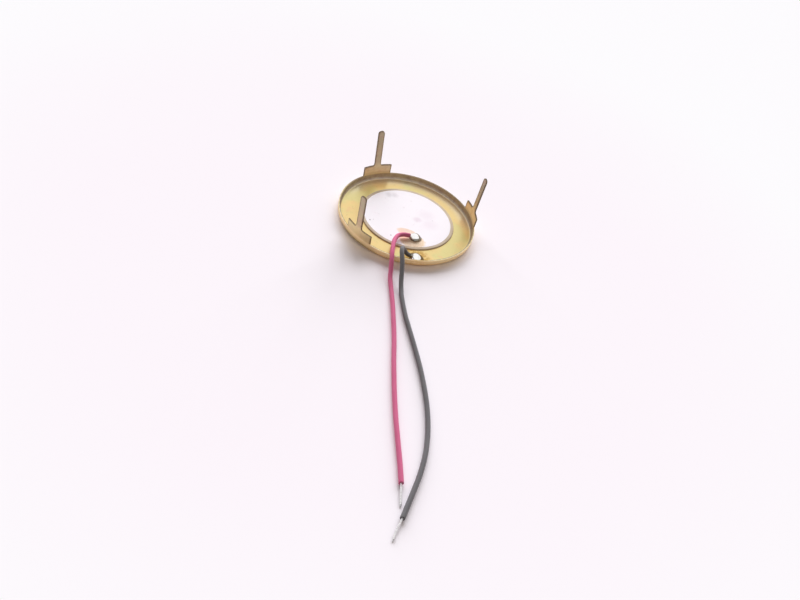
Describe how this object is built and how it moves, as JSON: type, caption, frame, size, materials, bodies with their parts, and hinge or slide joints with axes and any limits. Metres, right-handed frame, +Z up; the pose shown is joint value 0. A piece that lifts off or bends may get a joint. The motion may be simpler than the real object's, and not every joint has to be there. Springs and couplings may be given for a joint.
{
  "type": "piezo disc",
  "caption": "Round silvered piezo ceramic bonded in a shallow pressed brass dish with upright rim pins, with a red and a black soldered lead.",
  "frame": {"origin": "centre of the dish's flat underside", "axes": "+Z up out of the dish, along the pins; the leads run away towards -Y and +X"},
  "size_m": [0.0372, 0.1139, 0.0142],
  "materials": {
    "brass": "bare pressed sheet, lightly tarnished",
    "adhesive": "cured adhesive",
    "fired_silver": "matt fired silver",
    "piezo_ceramic": "bare unglazed ceramic",
    "solder": "bright solder",
    "red_pvc": "smooth soft insulation",
    "black_pvc": "smooth soft insulation",
    "tinned_copper": "tinned strands"
  },
  "bodies": {
    "root": {"brass_dish": "brass", "bond_layer": "adhesive", "rear_electrode": "fired_silver", "piezo_ceramic": "piezo_ceramic", "front_electrode": "fired_silver", "ceramic_solder": "solder", "brass_solder": "solder", "red_insulation": "red_pvc", "red_conductor": "tinned_copper", "black_insulation": "black_pvc", "black_conductor": "tinned_copper"}
  },
  "joints": []
}
